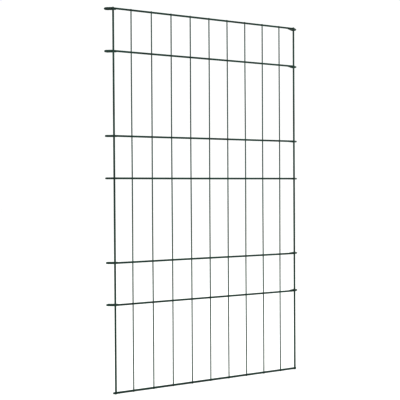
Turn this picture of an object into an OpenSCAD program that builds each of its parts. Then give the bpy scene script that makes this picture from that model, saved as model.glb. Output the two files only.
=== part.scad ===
// Welded wire fence panel that hangs on round rods.
// The rails run along X and the uprights along Z, welded to the front of the rails.
// Every rail but the lowest ends in two drop-shaped rod eyes that bend back towards +Y.
// Millimetres, +Z up. The origin is the middle of the footprint, at the height of the lowest ends.

/* [Panel] */
// Distance between the centre lines of the two edge uprights
panel_w = 443; // [250:1:900]
// Height of the second rail above the bottom rail
foot_gap = 181; // [60:1:300]
// Height between the two rails of a close pair
close_gap = 87; // [40:1:160]
// Height from one close pair to the next
wide_gap = 174; // [60:1:300]
// Number of close pairs above the bottom rail
pair_count = 3; // [1:1:5]

/* [Uprights] */
// Number of thin uprights between the two edge uprights
upright_count = 9; // [2:1:19]
// Distance from an edge upright to the nearest thin upright
edge_gap = 39.5; // [15:0.5:60]
// Wire diameter of the thin uprights
upright_d = 2.2; // [1.4:0.1:4]
// Wire diameter of the two edge uprights
edge_d = 3.6; // [2:0.1:6]

/* [Rails] */
// Wire diameter of the rails
rail_d = 3.6; // [2:0.1:6]
// Length of the bottom rail past the centre line of each edge upright
foot_overhang = 4.7; // [3:0.1:20]

/* [Rod eyes] */
// Diameter of the rod that stands in the eyes
rod_d = 6; // [4:0.1:12]
// Radial clearance between the rod and the round end of an eye
rod_clearance = 0.15; // [0.05:0.01:0.4]
// Straight rail between the outer side of an edge upright and the first bend
eye_start = 0.1; // [0:0.1:10]
// Mean radius of that first bend
eye_bend_r = 4; // [3.5:0.1:10]
// Angle between the rail and the two straight sides of the eye
eye_angle = 33; // [20:1:60]
// Length of the eye's outer straight side
eye_leg = 8.3; // [2:0.1:20]
// Depth to which the forming pin flattens the wire inside the round end
pin_press = 0.08; // [0.03:0.01:0.2]
// Gap between the eye's cut end and the back of the rail
tail_gap = 0.4; // [0.1:0.1:3]
// How much thicker the wire is where it has been bent
bend_swell = 0.02; // [0.02:0.01:0.1]

/* [Welds] */
// Depth to which a thin upright is pressed onto each rail
thin_setdown = 0.4; // [0.1:0.05:0.5]
// Depth to which an edge upright is pressed onto each rail
edge_setdown = 0.6; // [0.1:0.05:0.8]
// Width of the collar of fused metal round a pressed contact
collar_w = 0.5; // [0.15:0.01:0.6]
// Chamfer left by the shears on every cut wire end
end_chamfer = 0.25; // [0.1:0.05:0.5]

/* [Hidden] */
$fn = 48;
rail_r = rail_d / 2;
edge_r = edge_d / 2;
rail_count = 1 + 2 * pair_count;
upright_pitch = (panel_w - 2 * edge_gap) / (upright_count - 1);

// Heights of the rail centre lines, counted from the bottom rail
function rail_z(i) =
    rail_r + (i > 1 ? foot_gap : 0)
    + floor((i - 1) / 2) * close_gap
    + max(0, floor((i - 2) / 2)) * wide_gap;
panel_h = rail_z(rail_count) + rail_r;

// Places of the uprights, from left to right
function thin_x(i) = -panel_w / 2 + edge_gap + (i - 1) * upright_pitch;
edge_x = [-panel_w / 2, panel_w / 2];

// Rod eye in plan, from the point where the straight rail ends
bend_d = rail_d + bend_swell;
// Length by which straight wire runs on inside the thicker wire of a bend
lap = 0.2;
seat_r = rod_d / 2 + rod_clearance;
eye_r = seat_r - pin_press + bend_d / 2;
bend_end = [eye_bend_r * sin(eye_angle), eye_bend_r * (1 - cos(eye_angle))];
leg_end = bend_end + eye_leg * [cos(eye_angle), sin(eye_angle)];
seat_at = leg_end + eye_r * [-sin(eye_angle), cos(eye_angle)];
tail_start_y = leg_end[1] + 2 * eye_r * cos(eye_angle);
tail_end_y = rail_r + tail_gap + rail_r * cos(eye_angle);
tail = (tail_start_y - tail_end_y) / sin(eye_angle);
straight_end = panel_w / 2 + edge_r + eye_start;

// The rails' own plane is set so that the footprint is centred on the origin
front_depth = rail_r + max(edge_d - edge_setdown, upright_d - thin_setdown);
back_depth = seat_at[1] + eye_r + bend_d / 2;
rail_y = (front_depth - back_depth) / 2;

// Radius of the collar round the contact of a wire pressed down by the given depth.
// It stays within the rail's own height, and clear of the first bend beside an edge upright.
function collar_r(setdown) =
    min(
        rail_r,
        edge_r + eye_start,
        sqrt(pow(rail_r, 2) - pow(rail_r - setdown, 2)) + collar_w
    );

coat = [0.14, 0.21, 0.19];
weld_coat = [0.17, 0.24, 0.22];

function rail_name(i) =
    i == 1 ? "bottom_rail" : i == rail_count ? "top_rail" : str("rail_", i);

// Straight wire along +Z from the origin, chamfered at its far end
module cut_end_wire(length, d) {
    cylinder(h = length - end_chamfer, d = d);
    translate([0, 0, length - end_chamfer])
        cylinder(h = end_chamfer, d1 = d, d2 = d - 2 * end_chamfer);
}

// Straight wire along +Z, centred on the origin, chamfered at both ends
module cut_wire(length, d) {
    for (side = [0, 1])
        mirror([0, 0, side])
            cut_end_wire(length / 2, d);
}

// Wire bent round a centre at [0, radius], from the origin heading +X, turning towards +Y
module bent_wire(radius, angle) {
    translate([0, radius, 0])
        rotate([0, 0, -90])
            rotate_extrude(angle = angle)
                translate([radius, 0])
                    circle(d = bend_d);
}

// Drop-shaped eye that leaves the origin heading +X and closes behind the rail
module rod_eye() {
    bent_wire(eye_bend_r, eye_angle);
    translate(bend_end)
        rotate([0, 0, eye_angle])
            difference() {
                union() {
                    translate([-lap, 0, 0])
                        rotate([0, 90, 0])
                            cylinder(h = eye_leg + 2 * lap, d = rail_d);
                    translate([eye_leg, 0, 0])
                        bent_wire(eye_r, 180);
                    translate([eye_leg + lap, 2 * eye_r, 0])
                        rotate([0, -90, 0])
                            cut_end_wire(tail + lap, rail_d);
                }
                translate([eye_leg, eye_r, 0])
                    cylinder(h = 2 * rail_d, r = seat_r, center = true);
            }
}

// Full round section of one rail between the edge uprights, along X
module rail_line(i, length) {
    translate([0, rail_y, rail_z(i)])
        rotate([0, 90, 0])
            cylinder(h = length, d = rail_d, center = true);
}

module bottom_rail() {
    color(coat)
        translate([0, rail_y, rail_z(1)])
            rotate([0, 90, 0])
                cut_wire(panel_w + 2 * foot_overhang, rail_d);
}

// Each half runs straight out from the middle of the panel into its eye
module eyed_rail(i) {
    color(coat)
        for (side = [0, 1])
            mirror([side, 0, 0])
                translate([straight_end, rail_y, rail_z(i)]) {
                    translate([lap, 0, 0])
                        rotate([0, -90, 0])
                            cylinder(h = straight_end + lap, d = rail_d);
                    rod_eye();
                }
}

// Round wire along Z, lying against the front of the rails, before it is pressed on
module upright_line(x, d, setdown) {
    translate([x, rail_y - rail_r - d / 2 + setdown, panel_h / 2])
        cut_wire(panel_h, d);
}

// Upright with a saddle at every rail
module upright(x, d, setdown) {
    color(coat)
        difference() {
            upright_line(x, d, setdown);
            for (i = [1 : rail_count])
                rail_line(i, 2 * straight_end);
        }
}

// Collar of fused metal in the corner between one rail and one upright
module weld_collar(i, x, d, setdown) {
    difference() {
        translate([x, rail_y - rail_r + setdown / 2, rail_z(i)])
            sphere(r = collar_r(setdown));
        rail_line(i, 2 * straight_end);
        upright_line(x, d, setdown);
    }
}

module weld_row(i) {
    color(weld_coat) {
        for (x = edge_x)
            weld_collar(i, x, edge_d, edge_setdown);
        for (k = [1 : upright_count])
            weld_collar(i, thin_x(k), upright_d, thin_setdown);
    }
}

bottom_rail();
for (i = [2 : rail_count])
    eyed_rail(i);
upright(edge_x[0], edge_d, edge_setdown);  // left_edge_upright
upright(edge_x[1], edge_d, edge_setdown);  // right_edge_upright
for (i = [1 : upright_count])
    upright(thin_x(i), upright_d, thin_setdown);
for (i = [1 : rail_count])
    weld_row(i);
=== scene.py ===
"""Looks of a welded wire fence panel: coated wires, drop-shaped rod eyes and weld fillets."""

import math
import random

import bpy
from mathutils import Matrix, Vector


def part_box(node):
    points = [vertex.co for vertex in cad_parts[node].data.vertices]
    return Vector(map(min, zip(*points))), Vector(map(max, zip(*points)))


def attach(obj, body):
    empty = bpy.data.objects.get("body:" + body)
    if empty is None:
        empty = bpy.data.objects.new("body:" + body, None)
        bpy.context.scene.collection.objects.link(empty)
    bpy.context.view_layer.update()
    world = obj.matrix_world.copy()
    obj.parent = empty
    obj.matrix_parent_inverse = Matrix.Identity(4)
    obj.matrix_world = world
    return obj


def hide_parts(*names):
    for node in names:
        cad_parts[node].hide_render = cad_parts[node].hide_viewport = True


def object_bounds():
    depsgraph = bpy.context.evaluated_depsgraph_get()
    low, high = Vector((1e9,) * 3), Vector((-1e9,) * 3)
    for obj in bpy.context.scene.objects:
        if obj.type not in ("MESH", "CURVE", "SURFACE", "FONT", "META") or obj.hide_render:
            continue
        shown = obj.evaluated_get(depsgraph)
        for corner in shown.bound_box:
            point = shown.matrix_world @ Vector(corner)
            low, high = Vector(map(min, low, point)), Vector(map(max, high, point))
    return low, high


bl_info = {
    "name": "Welded Wire Panel",
    "version": (1, 0, 0),
    "blender": (4, 5, 0),
    "location": "View3D > Sidebar > Wire Panel",
    "description": "Builds the coated wires, rod eyes and weld fillets of a fence panel",
    "category": "Object",
}

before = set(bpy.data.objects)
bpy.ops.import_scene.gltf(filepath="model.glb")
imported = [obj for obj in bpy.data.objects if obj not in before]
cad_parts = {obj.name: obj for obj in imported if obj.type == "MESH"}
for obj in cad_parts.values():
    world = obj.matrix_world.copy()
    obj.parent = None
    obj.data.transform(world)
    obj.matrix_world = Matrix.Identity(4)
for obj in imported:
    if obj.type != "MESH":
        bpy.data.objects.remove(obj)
CAD_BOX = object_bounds()

MM = 0.001
BODY = "root"


# ---------------------------------------------------------------- sizes read from the frame


def size_of(node):
    """Length of a node's box along X, Y and Z."""
    low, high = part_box(node)
    return high - low


def middle_of(node):
    """Middle of a node's box."""
    low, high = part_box(node)
    return (low + high) / 2


def numbered(prefix):
    """Names of the nodes that are a prefix and a number, in the order of their numbers."""
    names = [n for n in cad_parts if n.startswith(prefix) and n[len(prefix):].isdigit()]
    return sorted(names, key=lambda n: int(n[len(prefix):]))


THIN_UPRIGHTS = numbered("upright_")
EDGE_UPRIGHTS = ["left_edge_upright", "right_edge_upright"]
EYED_RAILS = numbered("rail_") + ["top_rail"]
RAILS = ["bottom_rail"] + EYED_RAILS
WELD_ROWS = numbered("weld_row_")

RAIL_D = size_of("bottom_rail").z
EDGE_D = size_of(EDGE_UPRIGHTS[0]).x
THIN_D = size_of(THIN_UPRIGHTS[0]).x
RAIL_Y = middle_of("bottom_rail").y
EYE_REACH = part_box("top_rail")[1].x


# ---------------------------------------------------------------- fixed numbers

# First seed of the coat's lumps in each group of wires
BOTTOM_RAIL_LUMPS = 1
EYED_RAIL_LUMPS = 10
EDGE_UPRIGHT_LUMPS = 30
THIN_UPRIGHT_LUMPS = 50
# Keeps the rails' strays apart from the thin uprights'
RAIL_SEED_OFFSET = 1000

# Shares of the cut rounding at which a wire end has its extra points
CUT_STEPS = (0.04, 0.15, 0.35, 0.65, 1.0)
# Longest step between the points of an eye's straight sides
EYE_STEP = 1.5 * MM

# The coat's patterns
GRAINS_PER_RIPPLE = 9
CLOUDS_PER_METRE = 28.0
DUST_PER_METRE = 160.0
RIPPLE_TONE_SHARE = 0.35
CLOUD_TONE_SHARE = 0.65
WELD_TONE_SPREAD = 0.10
MOST_DUST = 0.3
MOST_SPECK = 0.16
GRAIN_HEIGHT_SHARE = 0.12
# Distances from a cut end between which the coat goes from whole to thinnest
COAT_WHOLE_FROM = 0.45 * MM
COAT_THINNEST_FROM = 0.05 * MM
THIN_COAT_ROUGHER = 0.18
WELD_LUMPINESS = 1.6

# Strength at which the sky itself is seen, just past the point where it comes out plain white
SKY_SHOWN = 1.02
WHITE = (1.0, 1.0, 1.0, 1.0)
FLOOR_SIDES = 96
FLOOR_DARKER = (0.90, 0.90, 0.89, 1.0)
FLOOR_LIGHTER = (0.94, 0.94, 0.935, 1.0)
# Width and place of each lamp
KEY_LAMP = (1.8, Vector((-1.5, -2.2, 2.1)))
FILL_LAMP = (2.2, Vector((2.4, -1.2, 1.3)))
SENSOR_W = 36.0
NEAREST_SEEN = 0.05
FURTHEST_SEEN = 100.0


# ---------------------------------------------------------------- settings


class WirePanelWires(bpy.types.PropertyGroup):
    """Wire sizes and the small unevenness of drawn, welded wire."""

    rail_d: bpy.props.FloatProperty(
        name="Rail wire", description="Diameter of the rails' wire",
        default=RAIL_D, min=0.001, max=0.01, precision=5, unit="LENGTH")
    edge_d: bpy.props.FloatProperty(
        name="Edge wire", description="Diameter of the two edge uprights' wire",
        default=EDGE_D, min=0.001, max=0.01, precision=5, unit="LENGTH")
    thin_d: bpy.props.FloatProperty(
        name="Thin wire", description="Diameter of the thin uprights' wire",
        default=THIN_D, min=0.001, max=0.01, precision=5, unit="LENGTH")
    thick_sides: bpy.props.IntProperty(
        name="Sides, thick wire", description="Sides of the rails' and edge uprights' section",
        default=24, min=8, max=64)
    thin_sides: bpy.props.IntProperty(
        name="Sides, thin wire", description="Sides of the thin uprights' section",
        default=16, min=8, max=64)
    cut_rounding: bpy.props.FloatProperty(
        name="Cut rounding", description="Radius of the coated edge round a cut wire end",
        default=0.3 * MM, min=0.05 * MM, max=1 * MM, precision=5, unit="LENGTH")
    coat_variation: bpy.props.FloatProperty(
        name="Coat variation",
        description="Share of the radius that is missing where the coat is thinnest",
        default=0.02, min=0.0, max=0.1, subtype="FACTOR")
    lump_spacing: bpy.props.FloatProperty(
        name="Lump spacing", description="Distance between thick and thin places of the coat",
        default=16 * MM, min=4 * MM, max=100 * MM, precision=4, unit="LENGTH")
    point_step: bpy.props.FloatProperty(
        name="Point step", description="Distance between a straight wire's points",
        default=8 * MM, min=2 * MM, max=40 * MM, precision=4, unit="LENGTH")
    thin_drift: bpy.props.FloatProperty(
        name="Thin drift",
        description="Furthest that a thin upright strays sideways from a true line",
        default=0.45 * MM, min=0.0, max=2 * MM, precision=5, unit="LENGTH")
    rail_drift: bpy.props.FloatProperty(
        name="Rail drift",
        description="Furthest that a middle rail strays up or down from a true line",
        default=0.25 * MM, min=0.0, max=2 * MM, precision=5, unit="LENGTH")
    seed: bpy.props.IntProperty(
        name="Seed", description="Seed of the wires' unevenness", default=11, min=0)


class WirePanelEyes(bpy.types.PropertyGroup):
    """Plan of a rod eye, from the end of the straight rail to the cut end behind it."""

    bend_r: bpy.props.FloatProperty(
        name="First bend", description="Mean radius of the bend where the eye leaves the rail",
        default=4 * MM, min=2 * MM, max=10 * MM, precision=4, unit="LENGTH")
    angle: bpy.props.FloatProperty(
        name="Eye angle", description="Angle between the rail and the eye's straight sides",
        default=math.radians(33), min=math.radians(20), max=math.radians(60), unit="ROTATION")
    leg: bpy.props.FloatProperty(
        name="Outer side", description="Length of the eye's outer straight side",
        default=8.3 * MM, min=2 * MM, max=20 * MM, precision=5, unit="LENGTH")
    round_r: bpy.props.FloatProperty(
        name="Round end", description="Mean radius of the eye's round end",
        default=4.88 * MM, min=2 * MM, max=12 * MM, precision=5, unit="LENGTH")
    tail_gap: bpy.props.FloatProperty(
        name="Tail gap", description="Gap between the eye's cut end and the back of the rail",
        default=0.4 * MM, min=0.1 * MM, max=3 * MM, precision=5, unit="LENGTH")
    swell: bpy.props.FloatProperty(
        name="Bend swelling", description="How much thicker the wire is where it has been bent",
        default=0.02 * MM, min=0.0, max=0.1 * MM, precision=6, unit="LENGTH")
    turn_step: bpy.props.FloatProperty(
        name="Turn step", description="Angle between a bend's points",
        default=math.radians(7.5), min=math.radians(2), max=math.radians(30), unit="ROTATION")


class WirePanelWelds(bpy.types.PropertyGroup):
    """Fillets of fused metal under the coat at every crossing."""

    thin_setdown: bpy.props.FloatProperty(
        name="Thin set-down", description="Depth to which a thin upright is pressed onto a rail",
        default=0.4 * MM, min=0.0, max=0.6 * MM, precision=5, unit="LENGTH")
    edge_setdown: bpy.props.FloatProperty(
        name="Edge set-down", description="Depth to which an edge upright is pressed onto a rail",
        default=0.6 * MM, min=0.0, max=0.8 * MM, precision=5, unit="LENGTH")
    thin_fillet: bpy.props.FloatProperty(
        name="Thin fillet", description="Radius of the fillet between a thin upright and a rail",
        default=0.38 * MM, min=0.1 * MM, max=1 * MM, precision=5, unit="LENGTH")
    edge_fillet: bpy.props.FloatProperty(
        name="Edge fillet", description="Radius of the fillet between an edge upright and a rail",
        default=0.55 * MM, min=0.1 * MM, max=1.5 * MM, precision=5, unit="LENGTH")
    sink: bpy.props.FloatProperty(
        name="Sink", description="Depth to which a fillet's edges run on inside the wires",
        default=0.04 * MM, min=0.0, max=0.1 * MM, precision=6, unit="LENGTH")
    around: bpy.props.IntProperty(
        name="Steps round", description="Points round the contact", default=40, min=12, max=96)
    across: bpy.props.IntProperty(
        name="Steps across", description="Points across the hollow of a fillet",
        default=6, min=3, max=16)


class WirePanelCoat(bpy.types.PropertyGroup):
    """Powder coat over all the wires."""

    dark: bpy.props.FloatVectorProperty(
        name="Coat, dark", description="Deeper tone of the powder coat",
        subtype="COLOR", size=3, default=(0.004, 0.028, 0.019), min=0.0, max=1.0)
    light: bpy.props.FloatVectorProperty(
        name="Coat, light", description="Lighter tone of the powder coat",
        subtype="COLOR", size=3, default=(0.015, 0.058, 0.042), min=0.0, max=1.0)
    dust: bpy.props.FloatVectorProperty(
        name="Dust", description="Tone of the dust that lies in the coat's texture",
        subtype="COLOR", size=3, default=(0.10, 0.105, 0.09), min=0.0, max=1.0)
    bare: bpy.props.FloatVectorProperty(
        name="Thin coat", description="Tone of steel showing through the thin coat on a cut end",
        subtype="COLOR", size=3, default=(0.085, 0.095, 0.09), min=0.0, max=1.0)
    peel_size: bpy.props.FloatProperty(
        name="Peel size", description="Distance between the ripples of the coat",
        default=0.9 * MM, min=0.2 * MM, max=5 * MM, precision=5, unit="LENGTH")
    peel_depth: bpy.props.FloatProperty(
        name="Peel depth", description="Height of the ripples of the coat",
        default=0.055 * MM, min=0.0, max=0.2 * MM, precision=6, unit="LENGTH")
    roughness: bpy.props.FloatProperty(
        name="Roughness", description="Roughness of the satin coat",
        default=0.34, min=0.05, max=1.0, subtype="FACTOR")


class WirePanelStage(bpy.types.PropertyGroup):
    """Camera, floor and lights."""

    camera_place: bpy.props.FloatVectorProperty(
        name="Camera", description="Place of the camera",
        subtype="TRANSLATION", size=3, unit="LENGTH",
        default=(-0.7559, RAIL_Y - 1.4236, RAIL_D / 2 + 0.4170))
    pan: bpy.props.FloatProperty(
        name="Pan", description="Angle of the view to the right of straight at the panel",
        default=math.radians(27.24), unit="ROTATION")
    tilt: bpy.props.FloatProperty(
        name="Tilt", description="Angle of the view below the horizon",
        default=math.radians(0.78), unit="ROTATION")
    roll: bpy.props.FloatProperty(
        name="Roll", description="Angle by which the camera leans to the right",
        default=math.radians(0.35), unit="ROTATION")
    lens: bpy.props.FloatProperty(
        name="Lens", description="Focal length for a sensor 36 mm wide",
        default=66.24, min=10.0, max=300.0)
    floor_r: bpy.props.FloatProperty(
        name="Floor radius", description="Radius of the round floor",
        default=14.0, min=1.0, max=100.0, unit="LENGTH")
    key_power: bpy.props.FloatProperty(
        name="Key light", description="Power of the large light at the front left",
        default=40.0, min=0.0, max=1000.0, unit="POWER")
    fill_power: bpy.props.FloatProperty(
        name="Fill light", description="Power of the soft light at the right",
        default=14.0, min=0.0, max=1000.0, unit="POWER")
    sky: bpy.props.FloatProperty(
        name="Sky", description="Strength of the even white light from all round",
        default=1.12, min=0.0, max=5.0)
    contrast: bpy.props.FloatProperty(
        name="Contrast",
        description="How much deeper the dark tones come out than in a plain picture",
        default=1.57, min=1.0, max=2.5)


SETTINGS = {
    "wire_panel_wires": WirePanelWires,
    "wire_panel_eyes": WirePanelEyes,
    "wire_panel_welds": WirePanelWelds,
    "wire_panel_coat": WirePanelCoat,
    "wire_panel_stage": WirePanelStage,
}


# ---------------------------------------------------------------- node trees


class Tree:
    """Adds nodes to a node tree and links what they read."""

    def __init__(self, tree):
        self.tree = tree

    def add(self, kind, values=None, **settings):
        """A new node. values maps an input's name or number to a socket or to a plain value."""
        node = self.tree.nodes.new(kind)
        for name, setting in settings.items():
            setattr(node, name, setting)
        for key, value in (values or {}).items():
            if isinstance(value, bpy.types.NodeSocket):
                self.tree.links.new(value, node.inputs[key])
            else:
                node.inputs[key].default_value = value
        return node

    def maths(self, operation, *values, clamp=False):
        """The result of one sum on up to three values."""
        node = self.add("ShaderNodeMath", dict(enumerate(values)),
                        operation=operation, use_clamp=clamp)
        return node.outputs[0]


def new_geometry_tree(name, inputs):
    """An empty geometry tree with the named inputs: its helper, what it is given, its result."""
    tree = bpy.data.node_groups.new(name, "GeometryNodeTree")
    tree.interface.new_socket("Geometry", in_out="INPUT", socket_type="NodeSocketGeometry")
    for label, socket_type in inputs.items():
        tree.interface.new_socket(label, in_out="INPUT", socket_type=socket_type)
    tree.interface.new_socket("Geometry", in_out="OUTPUT", socket_type="NodeSocketGeometry")
    build = Tree(tree)
    return build, build.add("NodeGroupInput").outputs, build.add("NodeGroupOutput").inputs


def coated_wire_tree():
    """A round wire along a path of edges, with rounded cut ends and a coat of uneven thickness."""
    build, given, result = new_geometry_tree("Coated wire", {
        "Diameter": "NodeSocketFloat",
        "Sides": "NodeSocketInt",
        "Cut Rounding": "NodeSocketFloat",
        "Coat Variation": "NodeSocketFloat",
        "Lumps per Metre": "NodeSocketFloat",
        "Seed": "NodeSocketFloat",
        "Material": "NodeSocketMaterial",
    })
    maths = build.maths
    path = build.add("GeometryNodeMeshToCurve", {"Mesh": given["Geometry"]}).outputs["Curve"]
    along = build.add("GeometryNodeSplineParameter").outputs["Length"]
    whole = build.add("GeometryNodeSplineLength").outputs["Length"]
    from_end = maths("MINIMUM", along, maths("SUBTRACT", whole, along))
    into_rounding = maths("SUBTRACT", 1.0, maths("DIVIDE", from_end, given["Cut Rounding"]))
    into_rounding = maths("MAXIMUM", into_rounding, 0.0)
    squared = maths("MULTIPLY", into_rounding, into_rounding)
    kept = maths("SQRT", maths("SUBTRACT", 1.0, squared, clamp=True))
    trimmed = maths("MULTIPLY", given["Cut Rounding"], maths("SUBTRACT", 1.0, kept))

    lumps = build.add("ShaderNodeTexNoise", {
        "Vector": build.add("GeometryNodeInputPosition").outputs[0],
        "W": given["Seed"],
        "Scale": given["Lumps per Metre"],
        "Detail": 2.0,
    }, noise_dimensions="4D").outputs[0]
    uneven = maths("MULTIPLY", maths("MAXIMUM", lumps, 0.0), given["Coat Variation"])
    full_r = maths("MULTIPLY", given["Diameter"], 0.5)
    coated_r = maths("MULTIPLY", full_r, maths("SUBTRACT", 1.0, uneven))
    radius = maths("SUBTRACT", coated_r, trimmed)

    path = build.add("GeometryNodeStoreNamedAttribute", {
        "Geometry": path, "Name": "from_end", "Value": from_end}).outputs[0]
    section = build.add("GeometryNodeCurvePrimitiveCircle", {
        "Resolution": given["Sides"], "Radius": 1.0})
    wire = build.add("GeometryNodeCurveToMesh", {
        "Curve": path, "Profile Curve": section.outputs[0], "Scale": radius, "Fill Caps": True})
    smooth = build.add("GeometryNodeSetShadeSmooth", {"Geometry": wire.outputs[0]}).outputs[0]
    real = build.add("GeometryNodeRealizeInstances", {"Geometry": smooth}).outputs[0]
    made = build.add("GeometryNodeSetMaterial", {
        "Geometry": real, "Material": given["Material"]}).outputs[0]
    build.tree.links.new(made, result["Geometry"])
    return build.tree


def weld_row_tree():
    """A fillet at every point, of the edge kind where the point is marked so."""
    build, given, result = new_geometry_tree("Weld row", {
        "Edge Fillet": "NodeSocketObject",
        "Thin Fillet": "NodeSocketObject",
        "Tone Seed": "NodeSocketInt",
        "Material": "NodeSocketMaterial",
    })
    at_edge = build.add("GeometryNodeInputNamedAttribute", {"Name": "at_edge"},
                        data_type="BOOLEAN").outputs[0]
    at_thin = build.add("FunctionNodeBooleanMath", {0: at_edge}, operation="NOT").outputs[0]
    join = build.add("GeometryNodeJoinGeometry")
    for fillet, chosen in (("Edge Fillet", at_edge), ("Thin Fillet", at_thin)):
        shape = build.add("GeometryNodeObjectInfo", {"Object": given[fillet]}).outputs["Geometry"]
        placed = build.add("GeometryNodeInstanceOnPoints", {
            "Points": given["Geometry"], "Selection": chosen, "Instance": shape}).outputs[0]
        build.tree.links.new(placed, join.inputs[0])
    tone = build.add("FunctionNodeRandomValue", {"Seed": given["Tone Seed"]},
                     data_type="FLOAT").outputs[1]
    toned = build.add("GeometryNodeStoreNamedAttribute", {
        "Geometry": join.outputs[0], "Name": "weld_tone", "Value": tone,
    }, domain="INSTANCE").outputs[0]
    real = build.add("GeometryNodeRealizeInstances", {"Geometry": toned}).outputs[0]
    made = build.add("GeometryNodeSetMaterial", {
        "Geometry": real, "Material": given["Material"]}).outputs[0]
    build.tree.links.new(made, result["Geometry"])
    return build.tree


def shape_with_tree(piece, tree, values):
    """Runs a geometry tree on a piece once and keeps the plain mesh that it makes."""
    modifier = piece.modifiers.new(tree.name, "NODES")
    modifier.node_group = tree
    for item in tree.interface.items_tree:
        if item.in_out == "INPUT" and item.name in values:
            modifier[item.identifier] = values[item.name]
    piece.update_tag()
    shaped = piece.evaluated_get(bpy.context.evaluated_depsgraph_get())
    mesh = bpy.data.meshes.new_from_object(shaped)
    if not mesh.polygons:
        raise RuntimeError(f"{tree.name} made no faces for {piece.name}")
    piece.modifiers.clear()
    was = piece.data
    piece.data = mesh
    mesh.name = piece.name
    bpy.data.meshes.remove(was)


# ---------------------------------------------------------------- finishes


def new_material(name):
    """A material with only its output node, and the helper that adds to it."""
    material = bpy.data.materials.new(name)
    material.use_nodes = True
    material.node_tree.nodes.clear()
    build = Tree(material.node_tree)
    return material, build, build.add("ShaderNodeOutputMaterial").inputs["Surface"]


def blend_colours(build, share, first, second):
    """Colour between two colours by a share from 0 to 1."""
    return build.add("ShaderNodeMix", {0: share, 6: first, 7: second},
                     data_type="RGBA").outputs[2]


def ranged(build, value, low, high, out_low=0.0, out_high=1.0):
    """A value stretched from one range to another and held inside it."""
    return build.add("ShaderNodeMapRange", {
        0: value, 1: low, 2: high, 3: out_low, 4: out_high}).outputs[0]


def powder_coat(name, wear_attribute=None, tone_attribute=None, lumpy=1.0):
    """Dark satin powder coat: rippled skin, slow change of tone, fine grain, dust in the hollows.

    The wear attribute is the distance from a cut end, where the coat is thin. The tone attribute
    is a random share from 0 to 1 that sets one weld's tone a little apart from the next one's.
    """
    coat = bpy.context.scene.wire_panel_coat
    material, build, surface = new_material(name)
    place = build.add("ShaderNodeTexCoord").outputs["Object"]

    def noise(per_metre, detail, offset=0.0):
        """Pattern of spots. The offset keeps it apart from the others."""
        moved = build.add("ShaderNodeVectorMath", {0: place, 1: (offset, offset, offset)},
                          operation="ADD")
        return build.add("ShaderNodeTexNoise", {
            "Vector": moved.outputs[0], "Scale": per_metre, "Detail": detail, "Roughness": 0.55,
        }).outputs[0]

    ripples = noise(1 / coat.peel_size, 2.0)
    grain = noise(GRAINS_PER_RIPPLE / coat.peel_size, 3.0, 0.31)
    clouds = noise(CLOUDS_PER_METRE, 3.0, 0.77)
    dusty = noise(DUST_PER_METRE, 4.0, 1.3)

    cloud_tone = build.maths("MULTIPLY", clouds, CLOUD_TONE_SHARE)
    tone = build.maths("MULTIPLY_ADD", ripples, RIPPLE_TONE_SHARE, cloud_tone)
    if tone_attribute:
        own = build.add("ShaderNodeAttribute", attribute_name=tone_attribute).outputs["Fac"]
        own_tone = ranged(build, own, 0.0, 1.0, -WELD_TONE_SPREAD, WELD_TONE_SPREAD)
        tone = build.maths("ADD", tone, own_tone)
    light_share = ranged(build, tone, 0.4, 0.6)
    colour = blend_colours(build, light_share, (*coat.dark, 1.0), (*coat.light, 1.0))
    hollow = ranged(build, ripples, 0.52, 0.34)
    dustiness = ranged(build, dusty, 0.48, 0.72, 0.0, MOST_DUST)
    dust_share = build.maths("MULTIPLY", dustiness, hollow)
    colour = blend_colours(build, dust_share, colour, (*coat.dust, 1.0))
    speck_share = ranged(build, grain, 0.62, 0.74, 0.0, MOST_SPECK)
    colour = blend_colours(build, speck_share, colour, (*coat.dust, 1.0))
    fine_rough = ranged(build, grain, 0.3, 0.7, -0.06, 0.07)
    broad_rough = ranged(build, clouds, 0.3, 0.7, coat.roughness - 0.05, coat.roughness + 0.06)
    rough = build.maths("ADD", fine_rough, broad_rough)
    if wear_attribute:
        from_end = build.add("ShaderNodeAttribute", attribute_name=wear_attribute).outputs["Fac"]
        at_cut = ranged(build, from_end, COAT_WHOLE_FROM, COAT_THINNEST_FROM)
        patchy = build.maths("MULTIPLY", at_cut, ranged(build, dusty, 0.35, 0.6, 0.15, 0.85))
        colour = blend_colours(build, patchy, colour, (*coat.bare, 1.0))
        rough = build.maths("MULTIPLY_ADD", patchy, THIN_COAT_ROUGHER, rough)

    height = build.maths("MULTIPLY_ADD", grain, GRAIN_HEIGHT_SHARE, ripples)
    bump = build.add("ShaderNodeBump", {
        "Height": height, "Strength": 0.9, "Distance": coat.peel_depth * lumpy})
    shader = build.add("ShaderNodeBsdfPrincipled", {
        "Base Color": colour, "Roughness": rough, "Normal": bump.outputs[0],
        "IOR": 1.5, "Specular IOR Level": 0.42, "Coat Weight": 0.12, "Coat Roughness": 0.28})
    build.tree.links.new(shader.outputs[0], surface)
    return material


def wire_coat():
    """The wires' coat, thin at their cut ends, made on first use."""
    name = "wire powder coat"
    return bpy.data.materials.get(name) or powder_coat(name, wear_attribute="from_end")


def weld_coat():
    """The welds' coat, lumpier and with a tone for each weld, made on first use."""
    name = "weld powder coat"
    return bpy.data.materials.get(name) or powder_coat(
        name, tone_attribute="weld_tone", lumpy=WELD_LUMPINESS)


# ---------------------------------------------------------------- wires


def new_piece(name, points, edges=(), faces=()):
    """A mesh object at the origin with these points, edges and faces."""
    mesh = bpy.data.meshes.new(name)
    mesh.from_pydata([tuple(p) for p in points], edges, faces)
    piece = bpy.data.objects.new(name, mesh)
    bpy.context.scene.collection.objects.link(piece)
    return piece


def hand_over(piece, node):
    """Puts a finished piece in the place of its CAD node."""
    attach(piece, BODY)
    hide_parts(node)


def spaced(length, step):
    """Distances from 0 to a length in equal steps no longer than the given one."""
    count = max(1, math.ceil(length / step))
    return [length * i / count for i in range(count + 1)]


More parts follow.
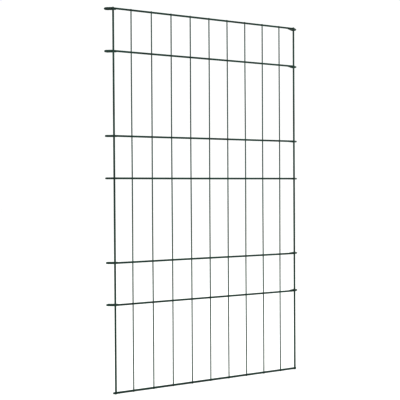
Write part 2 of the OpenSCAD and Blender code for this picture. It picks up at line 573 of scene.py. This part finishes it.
def with_cut_ends(points, rounding):
    """Adds the close points that the rounding of both cut ends needs."""
    first = (points[1] - points[0]).normalized() * rounding
    last = (points[-2] - points[-1]).normalized() * rounding
    head = [points[0] + first * s for s in CUT_STEPS]
    tail = [points[-1] + last * s for s in reversed(CUT_STEPS)]
    return [points[0], *head, *points[1:-1], *tail, points[-1]]


def make_wire(node, points, diameter, sides, lump_seed):
    """A coated wire along these points, in the place of its CAD node."""
    wires = bpy.context.scene.wire_panel_wires
    points = with_cut_ends(points, wires.cut_rounding)
    links = [(i, i + 1) for i in range(len(points) - 1)]
    piece = new_piece(node + "_wire", points, edges=links)
    tree = bpy.data.node_groups.get("Coated wire") or coated_wire_tree()
    shape_with_tree(piece, tree, {
        "Diameter": diameter,
        "Sides": sides,
        "Cut Rounding": wires.cut_rounding,
        "Coat Variation": wires.coat_variation,
        "Lumps per Metre": 1 / wires.lump_spacing,
        "Seed": float(lump_seed),
        "Material": wire_coat(),
    })
    hand_over(piece, node)


def drift(seed, share, furthest):
    """Slow stray of a wire at a share of its length: a lean and a wave, within the furthest."""
    pick = random.Random(seed)
    lean = pick.uniform(-0.5, 0.5)
    wave = pick.uniform(0.3, 0.5)
    turns = pick.uniform(0.8, 1.6)
    phase = pick.uniform(0, 2 * math.pi)
    swing = math.sin(2 * math.pi * turns * share + phase)
    return furthest * (lean * (2 * share - 1) + wave * swing)


def thin_stray(number, z):
    """Sideways stray of a thin upright at a height."""
    wires = bpy.context.scene.wire_panel_wires
    low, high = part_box(THIN_UPRIGHTS[number])
    return drift(wires.seed + number, (z - low.z) / (high.z - low.z), wires.thin_drift)


def rail_stray(rail, x):
    """Stray of a rail up or down at a place along it. The outer rails were laid true."""
    if rail in (RAILS[0], RAILS[-1]):
        return 0.0
    wires = bpy.context.scene.wire_panel_wires
    low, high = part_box(rail)
    seed = RAIL_SEED_OFFSET + wires.seed + RAILS.index(rail)
    return drift(seed, (x - low.x) / (high.x - low.x), wires.rail_drift)


class Route:
    """Plan of a bent wire, followed from its start one straight or turn at a time."""

    def __init__(self, x, y, heading=0.0):
        self.points = [Vector((x, y))]
        self.heading = heading

    def facing(self, turned=0.0):
        """Unit vector along the heading, or turned from it to the left."""
        angle = self.heading + turned
        return Vector((math.cos(angle), math.sin(angle)))

    def straight(self, length, step):
        """Goes on along the heading, with a point at least every step."""
        start = self.points[-1]
        self.points += [start + self.facing() * d for d in spaced(length, step)[1:]]

    def turn(self, radius, angle, step):
        """Bends to the left by an angle, with a point at least every step of it."""
        centre = self.points[-1] + self.facing(math.pi / 2) * radius
        start = self.heading
        for turned in spaced(angle, step)[1:]:
            self.heading = start + turned
            self.points.append(centre - self.facing(math.pi / 2) * radius)


def half_rail_plan():
    """Plan of one rail from the middle of the panel to the cut end of its right eye."""
    wires = bpy.context.scene.wire_panel_wires
    eyes = bpy.context.scene.wire_panel_eyes
    reach_of_eye = (eyes.bend_r * math.sin(eyes.angle) + eyes.leg * math.cos(eyes.angle)
                    - eyes.round_r * math.sin(eyes.angle) + eyes.round_r
                    + (RAIL_D + eyes.swell) / 2)
    straight_end = EYE_REACH - reach_of_eye
    tail_start = (eyes.bend_r * (1 - math.cos(eyes.angle)) + eyes.leg * math.sin(eyes.angle)
                  + 2 * eyes.round_r * math.cos(eyes.angle))
    tail_end = wires.rail_d / 2 + eyes.tail_gap + wires.rail_d / 2 * math.cos(eyes.angle)
    route = Route(0.0, RAIL_Y)
    route.straight(straight_end, wires.point_step)
    route.turn(eyes.bend_r, eyes.angle, eyes.turn_step)
    route.straight(eyes.leg, EYE_STEP)
    route.turn(eyes.round_r, math.pi, eyes.turn_step)
    route.straight((tail_start - tail_end) / math.sin(eyes.angle), EYE_STEP)
    return route.points


def weld_points(rail):
    """The contact of every upright with one rail, and whether each upright is an edge one."""
    z = middle_of(rail).z
    contacts = []
    for upright in EDGE_UPRIGHTS:
        x = middle_of(upright).x
        contacts.append((Vector((x, RAIL_Y, z + rail_stray(rail, x))), True))
    for number, upright in enumerate(THIN_UPRIGHTS):
        x = middle_of(upright).x + thin_stray(number, z)
        contacts.append((Vector((x, RAIL_Y, z + rail_stray(rail, x))), False))
    return contacts


# ---------------------------------------------------------------- weld fillets


def ball_in_corner(angle, rail_r, upright_r, spacing, ball_r):
    """Centre of a ball that touches a rail along X and an upright along Z in front of it.

    The angle goes round the contact from +X towards +Z. The rail's axis is the origin, and the
    upright's axis is the spacing in front of it, towards -Y.
    """
    from_rail, from_upright = rail_r + ball_r, upright_r + ball_r
    sin2 = math.sin(angle) ** 2
    cos2 = 1 - sin2
    # Both distances hold where (sin2 - cos2) y^2 + b y + c = 0
    b = 2 * spacing * sin2
    c = sin2 * (spacing ** 2 - from_upright ** 2) + cos2 * from_rail ** 2
    y = -2 * c / (b + math.sqrt(b * b - 4 * (sin2 - cos2) * c))
    out = math.sqrt(from_rail ** 2 + from_upright ** 2 - y ** 2 - (y + spacing) ** 2)
    return Vector((out * math.cos(angle), y, out * math.sin(angle)))


def make_fillet(name, upright_d, setdown, fillet_r):
    """Closed lump of fused metal round one contact, with hollow flanks, on the rail's axis."""
    wires = bpy.context.scene.wire_panel_wires
    welds = bpy.context.scene.wire_panel_welds
    rail_r = wires.rail_d / 2
    upright_r = upright_d / 2
    spacing = rail_r + upright_r - setdown
    rail_r -= welds.sink
    upright_r -= welds.sink
    rings = [[] for _ in range(welds.across + 1)]
    for step in range(welds.around):
        angle = 2 * math.pi * step / welds.around
        ball = ball_in_corner(angle, rail_r, upright_r, spacing, fillet_r)
        to_rail = Vector((0, -ball.y, -ball.z)).normalized()
        to_upright = Vector((-ball.x, -ball.y - spacing, 0)).normalized()
        for i, ring in enumerate(rings):
            ring.append(ball + to_rail.slerp(to_upright, i / welds.across) * fillet_r)
    contact_y = (setdown - wires.rail_d) / 2
    poles = [Vector((0, contact_y + setdown / 4, 0)), Vector((0, contact_y - setdown / 4, 0))]
    points = [p for ring in rings for p in ring] + poles
    count = welds.around
    faces = []
    for r in range(welds.across):
        for i in range(count):
            j = (i + 1) % count
            near, far = r * count, (r + 1) * count
            faces.append((near + i, near + j, far + j, far + i))
    last_ring = welds.across * count
    rail_pole, upright_pole = len(points) - 2, len(points) - 1
    for i in range(count):
        j = (i + 1) % count
        faces.append((rail_pole, j, i))
        faces.append((upright_pole, last_ring + i, last_ring + j))
    fillet = new_piece(name, points, faces=faces)
    for face in fillet.data.polygons:
        face.use_smooth = len(face.vertices) == 4
    fillet.data.materials.append(weld_coat())
    return fillet


def trim_to_ends(piece):
    """Cuts the fillets of the outer rails off level with the uprights' ends."""
    low, high = CAD_BOX[0].z, CAD_BOX[1].z
    for point in piece.data.vertices:
        point.co.z = min(max(point.co.z, low), high)


# ---------------------------------------------------------------- operators


class WIREPANEL_OT_bottom_rail(bpy.types.Operator):
    """Make the straight bottom rail"""

    bl_idname = "wire_panel.bottom_rail"
    bl_label = "Bottom rail"

    def execute(self, context):
        wires = context.scene.wire_panel_wires
        low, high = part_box("bottom_rail")
        z = middle_of("bottom_rail").z
        xs = [low.x + d for d in spaced(high.x - low.x, wires.point_step)]
        points = [Vector((x, RAIL_Y, z)) for x in xs]
        make_wire("bottom_rail", points, wires.rail_d, wires.thick_sides, BOTTOM_RAIL_LUMPS)
        return {"FINISHED"}


class WIREPANEL_OT_eyed_rails(bpy.types.Operator):
    """Make the rails that end in two rod eyes"""

    bl_idname = "wire_panel.eyed_rails"
    bl_label = "Rails with rod eyes"

    def execute(self, context):
        wires = context.scene.wire_panel_wires
        half = half_rail_plan()
        plan = [Vector((-p.x, p.y)) for p in reversed(half[1:])] + half
        for number, rail in enumerate(EYED_RAILS):
            z = middle_of(rail).z
            points = [Vector((p.x, p.y, z + rail_stray(rail, p.x))) for p in plan]
            make_wire(rail, points, wires.rail_d, wires.thick_sides, EYED_RAIL_LUMPS + number)
        return {"FINISHED"}


class WIREPANEL_OT_edge_uprights(bpy.types.Operator):
    """Make the two thick edge uprights"""

    bl_idname = "wire_panel.edge_uprights"
    bl_label = "Edge uprights"

    def execute(self, context):
        wires = context.scene.wire_panel_wires
        for number, upright in enumerate(EDGE_UPRIGHTS):
            low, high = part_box(upright)
            middle = middle_of(upright)
            y = low.y + wires.edge_d / 2
            zs = [low.z + d for d in spaced(high.z - low.z, wires.point_step)]
            points = [Vector((middle.x, y, z)) for z in zs]
            make_wire(upright, points, wires.edge_d, wires.thick_sides,
                      EDGE_UPRIGHT_LUMPS + number)
        return {"FINISHED"}


class WIREPANEL_OT_thin_uprights(bpy.types.Operator):
    """Make the thin uprights between the edge ones"""

    bl_idname = "wire_panel.thin_uprights"
    bl_label = "Thin uprights"

    def execute(self, context):
        wires = context.scene.wire_panel_wires
        for number, upright in enumerate(THIN_UPRIGHTS):
            low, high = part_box(upright)
            x, y = middle_of(upright).x, low.y + wires.thin_d / 2
            zs = [low.z + d for d in spaced(high.z - low.z, wires.point_step)]
            points = [Vector((x + thin_stray(number, z), y, z)) for z in zs]
            make_wire(upright, points, wires.thin_d, wires.thin_sides,
                      THIN_UPRIGHT_LUMPS + number)
        return {"FINISHED"}


class WIREPANEL_OT_weld_rows(bpy.types.Operator):
    """Make the weld fillets at every crossing, one piece for each rail"""

    bl_idname = "wire_panel.weld_rows"
    bl_label = "Weld fillets"

    def execute(self, context):
        wires = context.scene.wire_panel_wires
        welds = context.scene.wire_panel_welds
        edge = make_fillet("edge fillet", wires.edge_d, welds.edge_setdown, welds.edge_fillet)
        thin = make_fillet("thin fillet", wires.thin_d, welds.thin_setdown, welds.thin_fillet)
        tree = weld_row_tree()
        for number, (row, rail) in enumerate(zip(WELD_ROWS, RAILS)):
            contacts = weld_points(rail)
            piece = new_piece(row + "_fillets", [place for place, _ in contacts])
            marks = piece.data.attributes.new("at_edge", "BOOLEAN", "POINT")
            marks.data.foreach_set("value", [is_edge for _, is_edge in contacts])
            shape_with_tree(piece, tree, {
                "Edge Fillet": edge,
                "Thin Fillet": thin,
                "Tone Seed": number,
                "Material": weld_coat(),
            })
            trim_to_ends(piece)
            hand_over(piece, row)
        for pattern in (edge, thin):
            bpy.data.meshes.remove(pattern.data)
        return {"FINISHED"}


class WIREPANEL_OT_stage(bpy.types.Operator):
    """Set the floor, the lights and the camera"""

    bl_idname = "wire_panel.stage"
    bl_label = "Stage"

    def execute(self, context):
        stage = context.scene.wire_panel_stage
        context.scene.view_settings.view_transform = "Standard"
        context.scene.view_settings.gamma = 1 / stage.contrast
        make_floor(stage.floor_r)
        make_sky(stage.sky)
        middle = (CAD_BOX[0] + CAD_BOX[1]) / 2
        make_light("key light", stage.key_power, *KEY_LAMP, middle)
        make_light("fill light", stage.fill_power, *FILL_LAMP, middle)
        make_camera(stage)
        return {"FINISHED"}


# ---------------------------------------------------------------- stage


def make_floor(radius):
    """Round pale floor at the height of the panel's lowest point."""
    angles = [2 * math.pi * i / FLOOR_SIDES for i in range(FLOOR_SIDES)]
    rim = [(radius * math.cos(a), radius * math.sin(a), CAD_BOX[0].z) for a in angles]
    floor = new_piece("floor", rim, faces=[tuple(range(FLOOR_SIDES))])
    material, build, surface = new_material("pale floor")
    place = build.add("ShaderNodeTexCoord").outputs["Object"]
    mottle = build.add("ShaderNodeTexNoise", {
        "Vector": place, "Scale": 6.0, "Detail": 5.0}).outputs[0]
    light_share = ranged(build, mottle, 0.3, 0.7)
    colour = blend_colours(build, light_share, FLOOR_DARKER, FLOOR_LIGHTER)
    shader = build.add("ShaderNodeBsdfPrincipled", {
        "Base Color": colour, "Roughness": 0.9, "Specular IOR Level": 0.1})
    build.tree.links.new(shader.outputs[0], surface)
    floor.data.materials.append(material)


def make_sky(strength):
    """Even white light from all round, seen itself as plain white."""
    world = bpy.data.worlds.new("studio white")
    world.use_nodes = True
    build = Tree(world.node_tree)
    seen = build.add("ShaderNodeLightPath").outputs["Is Camera Ray"]
    background = world.node_tree.nodes["Background"].inputs
    background["Color"].default_value = WHITE
    shown = build.maths("MULTIPLY_ADD", seen, SKY_SHOWN - strength, strength)
    build.tree.links.new(shown, background["Strength"])
    bpy.context.scene.world = world


def make_light(name, power, width, place, target):
    """Square soft light that points at a target."""
    lamp = bpy.data.lights.new(name, "AREA")
    lamp.energy = power
    lamp.size = width
    light = bpy.data.objects.new(name, lamp)
    light.location = place
    light.rotation_euler = (target - place).to_track_quat("-Z", "Y").to_euler()
    bpy.context.scene.collection.objects.link(light)


def make_camera(stage):
    """Camera in front of the panel's left half, at the height of its middle."""
    lens = bpy.data.cameras.new("camera")
    lens.lens = stage.lens
    lens.sensor_width = SENSOR_W
    lens.clip_start = NEAREST_SEEN
    lens.clip_end = FURTHEST_SEEN
    camera = bpy.data.objects.new("camera", lens)
    camera.location = stage.camera_place
    camera.rotation_euler = (math.pi / 2 - stage.tilt, 0.0, -stage.pan)
    camera.rotation_euler.rotate_axis("Z", -stage.roll)
    bpy.context.scene.collection.objects.link(camera)
    bpy.context.scene.camera = camera


# ---------------------------------------------------------------- panel and registration


class WIREPANEL_PT_panel(bpy.types.Panel):
    """Lists the panel's settings and what makes each group of pieces"""

    bl_idname = "WIREPANEL_PT_panel"
    bl_label = "Wire Panel"
    bl_space_type = "VIEW_3D"
    bl_region_type = "UI"
    bl_category = "Wire Panel"

    def draw(self, context):
        layout = self.layout
        for name, group in SETTINGS.items():
            box = layout.box()
            box.label(text=group.__doc__)
            for prop in group.__annotations__:
                box.prop(getattr(context.scene, name), prop)
        for maker in MAKERS:
            layout.operator(maker.bl_idname)


MAKERS = [
    WIREPANEL_OT_stage,
    WIREPANEL_OT_bottom_rail,
    WIREPANEL_OT_eyed_rails,
    WIREPANEL_OT_edge_uprights,
    WIREPANEL_OT_thin_uprights,
    WIREPANEL_OT_weld_rows,
]


def register():
    """Adds the settings, the makers and the panel."""
    for cls in [*SETTINGS.values(), *MAKERS, WIREPANEL_PT_panel]:
        bpy.utils.register_class(cls)
    for name, group in SETTINGS.items():
        setattr(bpy.types.Scene, name, bpy.props.PointerProperty(type=group))


def unregister():
    """Takes away what register added."""
    for name in SETTINGS:
        delattr(bpy.types.Scene, name)
    for cls in reversed([*SETTINGS.values(), *MAKERS, WIREPANEL_PT_panel]):
        bpy.utils.unregister_class(cls)


def main():
    """Makes the stage and every group of pieces."""
    register()
    bpy.ops.wire_panel.stage()
    bpy.ops.wire_panel.bottom_rail()
    bpy.ops.wire_panel.eyed_rails()
    bpy.ops.wire_panel.edge_uprights()
    bpy.ops.wire_panel.thin_uprights()
    bpy.ops.wire_panel.weld_rows()


if __name__ == "__main__":
    main()
